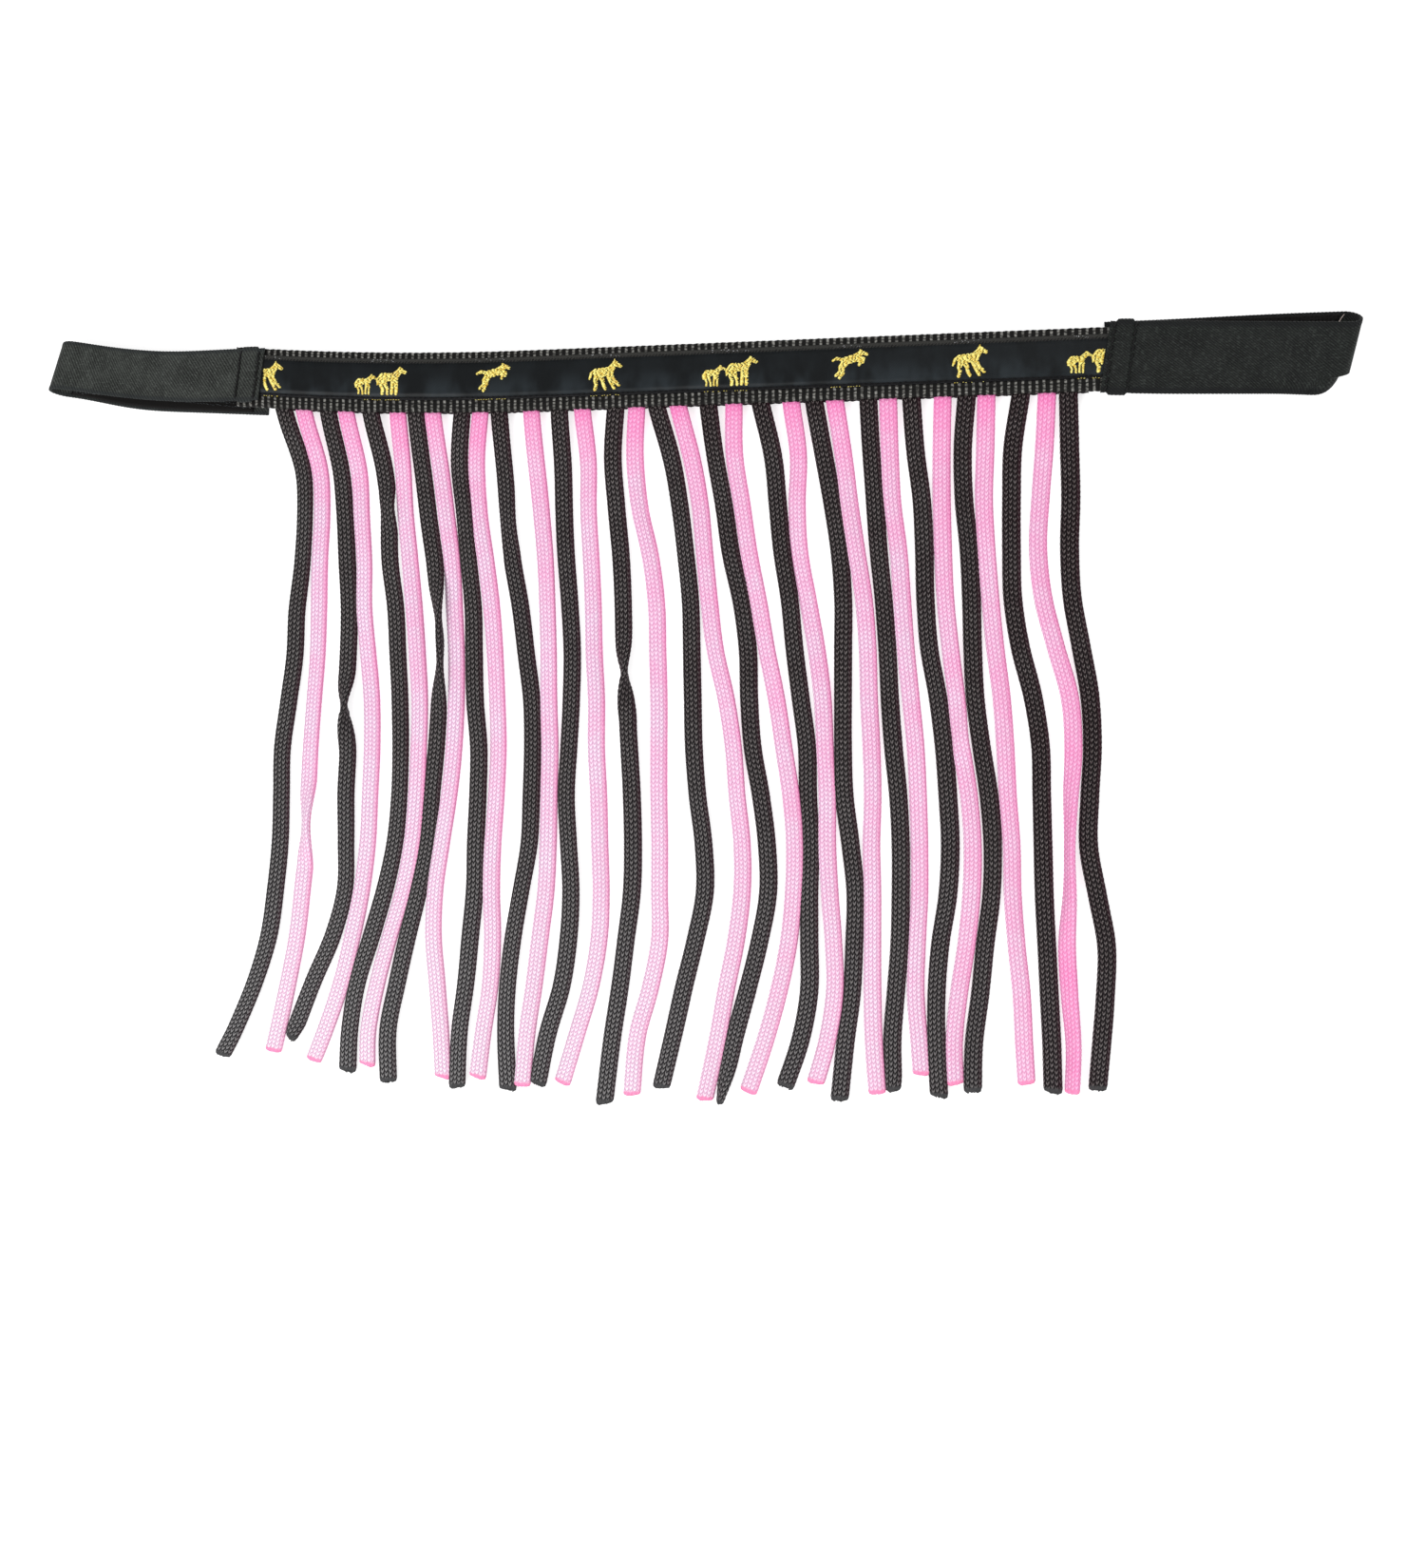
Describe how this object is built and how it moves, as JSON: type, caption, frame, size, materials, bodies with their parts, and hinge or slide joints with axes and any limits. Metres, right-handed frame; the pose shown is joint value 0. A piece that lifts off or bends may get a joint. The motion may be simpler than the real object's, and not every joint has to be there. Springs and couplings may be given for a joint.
{
  "type": "fly fringe browband",
  "caption": "Fly fringe browband: a ribbed webbing band with a horse-motif ribbon, alternating black and pink braided cords, and folded strap loops.",
  "frame": {"origin": "on the surface that it lies on, below the middle of the band and its two loops, measured without the cords", "axes": "+X along the band towards the right loop as seen from the front, +Y away from the cords towards the horse's poll, +Z out of the band's front face; it lies flat, face up"},
  "size_m": [0.5568, 0.33, 0.012],
  "materials": {
    "black_ribbed_webbing": "ribbed woven webbing, matt",
    "black_lining_webbing": "plain woven webbing, matt",
    "black_fringe_tape": "woven tape",
    "black_satin_ribbon": "satin weave, low sheen",
    "gold_thread": "metallic yarn, bright",
    "black_thread": "twisted sewing thread",
    "black_twill_strap": "twill tape, faded black, matt",
    "black_loop_tape": "brushed loops",
    "black_hook_tape": "moulded hooks",
    "black_braided_cord": "flat braided cord, matt with a slight sheen",
    "pink_braided_cord": "flat braided cord, pale pink, matt with a slight sheen"
  },
  "bodies": {
    "band": {"browband_webbing": "black_ribbed_webbing", "backing_webbing": "black_lining_webbing", "fringe_tape": "black_fringe_tape", "jacquard_ribbon": "black_satin_ribbon", "ribbon_motif_1": "gold_thread", "ribbon_motif_2": "gold_thread", "ribbon_motif_3": "gold_thread", "ribbon_motif_4": "gold_thread", "ribbon_motif_5": "gold_thread", "ribbon_motif_6": "gold_thread", "ribbon_upper_stitching": "black_thread", "ribbon_lower_stitching": "black_thread", "fringe_stitching": "black_thread", "left_strap": "black_twill_strap", "left_strap_stitching": "black_thread", "left_loop_tape": "black_loop_tape", "right_strap": "black_twill_strap", "right_strap_stitching": "black_thread", "right_loop_tape": "black_loop_tape"},
    "left_flap": {"left_flap": "black_twill_strap", "left_hook_tape": "black_hook_tape"},
    "right_flap": {"right_flap": "black_twill_strap", "right_hook_tape": "black_hook_tape"},
    "cord_01": {"cord_01": "black_braided_cord"},
    "cord_02": {"cord_02": "pink_braided_cord"},
    "cord_03": {"cord_03": "black_braided_cord"},
    "cord_04": {"cord_04": "pink_braided_cord"},
    "cord_05": {"cord_05": "black_braided_cord"},
    "cord_06": {"cord_06": "pink_braided_cord"},
    "cord_07": {"cord_07": "black_braided_cord"},
    "cord_08": {"cord_08": "pink_braided_cord"},
    "cord_09": {"cord_09": "black_braided_cord"},
    "cord_10": {"cord_10": "pink_braided_cord"},
    "cord_11": {"cord_11": "black_braided_cord"},
    "cord_12": {"cord_12": "pink_braided_cord"},
    "cord_13": {"cord_13": "black_braided_cord"},
    "cord_14": {"cord_14": "pink_braided_cord"},
    "cord_15": {"cord_15": "black_braided_cord"},
    "cord_16": {"cord_16": "pink_braided_cord"},
    "cord_17": {"cord_17": "black_braided_cord"},
    "cord_18": {"cord_18": "pink_braided_cord"},
    "cord_19": {"cord_19": "black_braided_cord"},
    "cord_20": {"cord_20": "pink_braided_cord"},
    "cord_21": {"cord_21": "black_braided_cord"},
    "cord_22": {"cord_22": "pink_braided_cord"},
    "cord_23": {"cord_23": "black_braided_cord"},
    "cord_24": {"cord_24": "pink_braided_cord"},
    "cord_25": {"cord_25": "black_braided_cord"},
    "cord_26": {"cord_26": "pink_braided_cord"},
    "cord_27": {"cord_27": "black_braided_cord"},
    "cord_28": {"cord_28": "pink_braided_cord"},
    "cord_29": {"cord_29": "black_braided_cord"},
    "cord_30": {"cord_30": "pink_braided_cord"},
    "cord_31": {"cord_31": "black_braided_cord"},
    "cord_32": {"cord_32": "pink_braided_cord"},
    "cord_33": {"cord_33": "black_braided_cord"}
  },
  "joints": [
    {"name": "left_flap_peel", "type": "hinge", "parent": "band", "child": "left_flap", "pos_m": [-0.27746, 0.00924, 0.006], "axis": [0.1392, 0.9903, 0], "range_deg": [0, 170]},
    {"name": "right_flap_peel", "type": "hinge", "parent": "band", "child": "right_flap", "pos_m": [0.27866, -0.00518, 0.006], "axis": [0, -1, 0], "range_deg": [0, 170]},
    {"name": "cord_01_swing", "type": "hinge", "parent": "band", "child": "cord_01", "pos_m": [-0.16704, -0.01501, 0.0041], "axis": [-1, 0, 0], "range_deg": [-75, 75]},
    {"name": "cord_02_swing", "type": "hinge", "parent": "band", "child": "cord_02", "pos_m": [-0.15854, -0.01568, 0.0041], "axis": [-1, 0, 0], "range_deg": [-75, 75]},
    {"name": "cord_03_swing", "type": "hinge", "parent": "band", "child": "cord_03", "pos_m": [-0.14804, -0.01642, 0.0041], "axis": [-1, 0, 0], "range_deg": [-75, 75]},
    {"name": "cord_04_swing", "type": "hinge", "parent": "band", "child": "cord_04", "pos_m": [-0.14004, -0.01694, 0.0041], "axis": [-1, 0, 0], "range_deg": [-75, 75]},
    {"name": "cord_05_swing", "type": "hinge", "parent": "band", "child": "cord_05", "pos_m": [-0.12904, -0.01756, 0.0041], "axis": [-1, 0, 0], "range_deg": [-75, 75]},
    {"name": "cord_06_swing", "type": "hinge", "parent": "band", "child": "cord_06", "pos_m": [-0.11754, -0.01812, 0.0041], "axis": [-1, 0, 0], "range_deg": [-75, 75]},
    {"name": "cord_07_swing", "type": "hinge", "parent": "band", "child": "cord_07", "pos_m": [-0.10954, -0.01845, 0.0041], "axis": [-1, 0, 0], "range_deg": [-75, 75]},
    {"name": "cord_08_swing", "type": "hinge", "parent": "band", "child": "cord_08", "pos_m": [-0.10204, -0.01871, 0.0041], "axis": [-1, 0, 0], "range_deg": [-75, 75]},
    {"name": "cord_09_swing", "type": "hinge", "parent": "band", "child": "cord_09", "pos_m": [-0.08954, -0.01906, 0.0041], "axis": [-1, 0, 0], "range_deg": [-75, 75]},
    {"name": "cord_10_swing", "type": "hinge", "parent": "band", "child": "cord_10", "pos_m": [-0.08154, -0.01922, 0.0041], "axis": [-1, 0, 0], "range_deg": [-75, 75]},
    {"name": "cord_11_swing", "type": "hinge", "parent": "band", "child": "cord_11", "pos_m": [-0.07304, -0.01933, 0.0041], "axis": [-1, 0, 0], "range_deg": [-75, 75]},
    {"name": "cord_12_swing", "type": "hinge", "parent": "band", "child": "cord_12", "pos_m": [-0.05904, -0.0194, 0.0041], "axis": [-1, 0, 0], "range_deg": [-75, 75]},
    {"name": "cord_13_swing", "type": "hinge", "parent": "band", "child": "cord_13", "pos_m": [-0.04704, -0.0194, 0.0041], "axis": [-1, 0, 0], "range_deg": [-75, 75]},
    {"name": "cord_14_swing", "type": "hinge", "parent": "band", "child": "cord_14", "pos_m": [-0.03704, -0.0194, 0.0041], "axis": [-1, 0, 0], "range_deg": [-75, 75]},
    {"name": "cord_15_swing", "type": "hinge", "parent": "band", "child": "cord_15", "pos_m": [-0.02304, -0.0194, 0.0041], "axis": [-1, 0, 0], "range_deg": [-75, 75]},
    {"name": "cord_16_swing", "type": "hinge", "parent": "band", "child": "cord_16", "pos_m": [-0.01404, -0.0194, 0.0041], "axis": [-1, 0, 0], "range_deg": [-75, 75]},
    {"name": "cord_17_swing", "type": "hinge", "parent": "band", "child": "cord_17", "pos_m": [-0.00504, -0.0194, 0.0041], "axis": [-1, 0, 0], "range_deg": [-75, 75]},
    {"name": "cord_18_swing", "type": "hinge", "parent": "band", "child": "cord_18", "pos_m": [0.00396, -0.0194, 0.0041], "axis": [-1, 0, 0], "range_deg": [-75, 75]},
    {"name": "cord_19_swing", "type": "hinge", "parent": "band", "child": "cord_19", "pos_m": [0.01646, -0.0194, 0.0041], "axis": [-1, 0, 0], "range_deg": [-75, 75]},
    {"name": "cord_20_swing", "type": "hinge", "parent": "band", "child": "cord_20", "pos_m": [0.02696, -0.0194, 0.0041], "axis": [-1, 0, 0], "range_deg": [-75, 75]},
    {"name": "cord_21_swing", "type": "hinge", "parent": "band", "child": "cord_21", "pos_m": [0.03846, -0.0194, 0.0041], "axis": [-1, 0, 0], "range_deg": [-75, 75]},
    {"name": "cord_22_swing", "type": "hinge", "parent": "band", "child": "cord_22", "pos_m": [0.05096, -0.0194, 0.0041], "axis": [-1, 0, 0], "range_deg": [-75, 75]},
    {"name": "cord_23_swing", "type": "hinge", "parent": "band", "child": "cord_23", "pos_m": [0.06046, -0.0194, 0.0041], "axis": [-1, 0, 0], "range_deg": [-75, 75]},
    {"name": "cord_24_swing", "type": "hinge", "parent": "band", "child": "cord_24", "pos_m": [0.06896, -0.0194, 0.0041], "axis": [-1, 0, 0], "range_deg": [-75, 75]},
    {"name": "cord_25_swing", "type": "hinge", "parent": "band", "child": "cord_25", "pos_m": [0.08246, -0.0194, 0.0041], "axis": [-1, 0, 0], "range_deg": [-75, 75]},
    {"name": "cord_26_swing", "type": "hinge", "parent": "band", "child": "cord_26", "pos_m": [0.09046, -0.0194, 0.0041], "axis": [-1, 0, 0], "range_deg": [-75, 75]},
    {"name": "cord_27_swing", "type": "hinge", "parent": "band", "child": "cord_27", "pos_m": [0.09996, -0.0194, 0.0041], "axis": [-1, 0, 0], "range_deg": [-75, 75]},
    {"name": "cord_28_swing", "type": "hinge", "parent": "band", "child": "cord_28", "pos_m": [0.11246, -0.0194, 0.0041], "axis": [-1, 0, 0], "range_deg": [-75, 75]},
    {"name": "cord_29_swing", "type": "hinge", "parent": "band", "child": "cord_29", "pos_m": [0.12196, -0.0194, 0.0041], "axis": [-1, 0, 0], "range_deg": [-75, 75]},
    {"name": "cord_30_swing", "type": "hinge", "parent": "band", "child": "cord_30", "pos_m": [0.12996, -0.0194, 0.0041], "axis": [-1, 0, 0], "range_deg": [-75, 75]},
    {"name": "cord_31_swing", "type": "hinge", "parent": "band", "child": "cord_31", "pos_m": [0.14346, -0.0194, 0.0041], "axis": [-1, 0, 0], "range_deg": [-75, 75]},
    {"name": "cord_32_swing", "type": "hinge", "parent": "band", "child": "cord_32", "pos_m": [0.15396, -0.0194, 0.0041], "axis": [-1, 0, 0], "range_deg": [-75, 75]},
    {"name": "cord_33_swing", "type": "hinge", "parent": "band", "child": "cord_33", "pos_m": [0.16246, -0.0194, 0.0041], "axis": [-1, 0, 0], "range_deg": [-75, 75]}
  ]
}
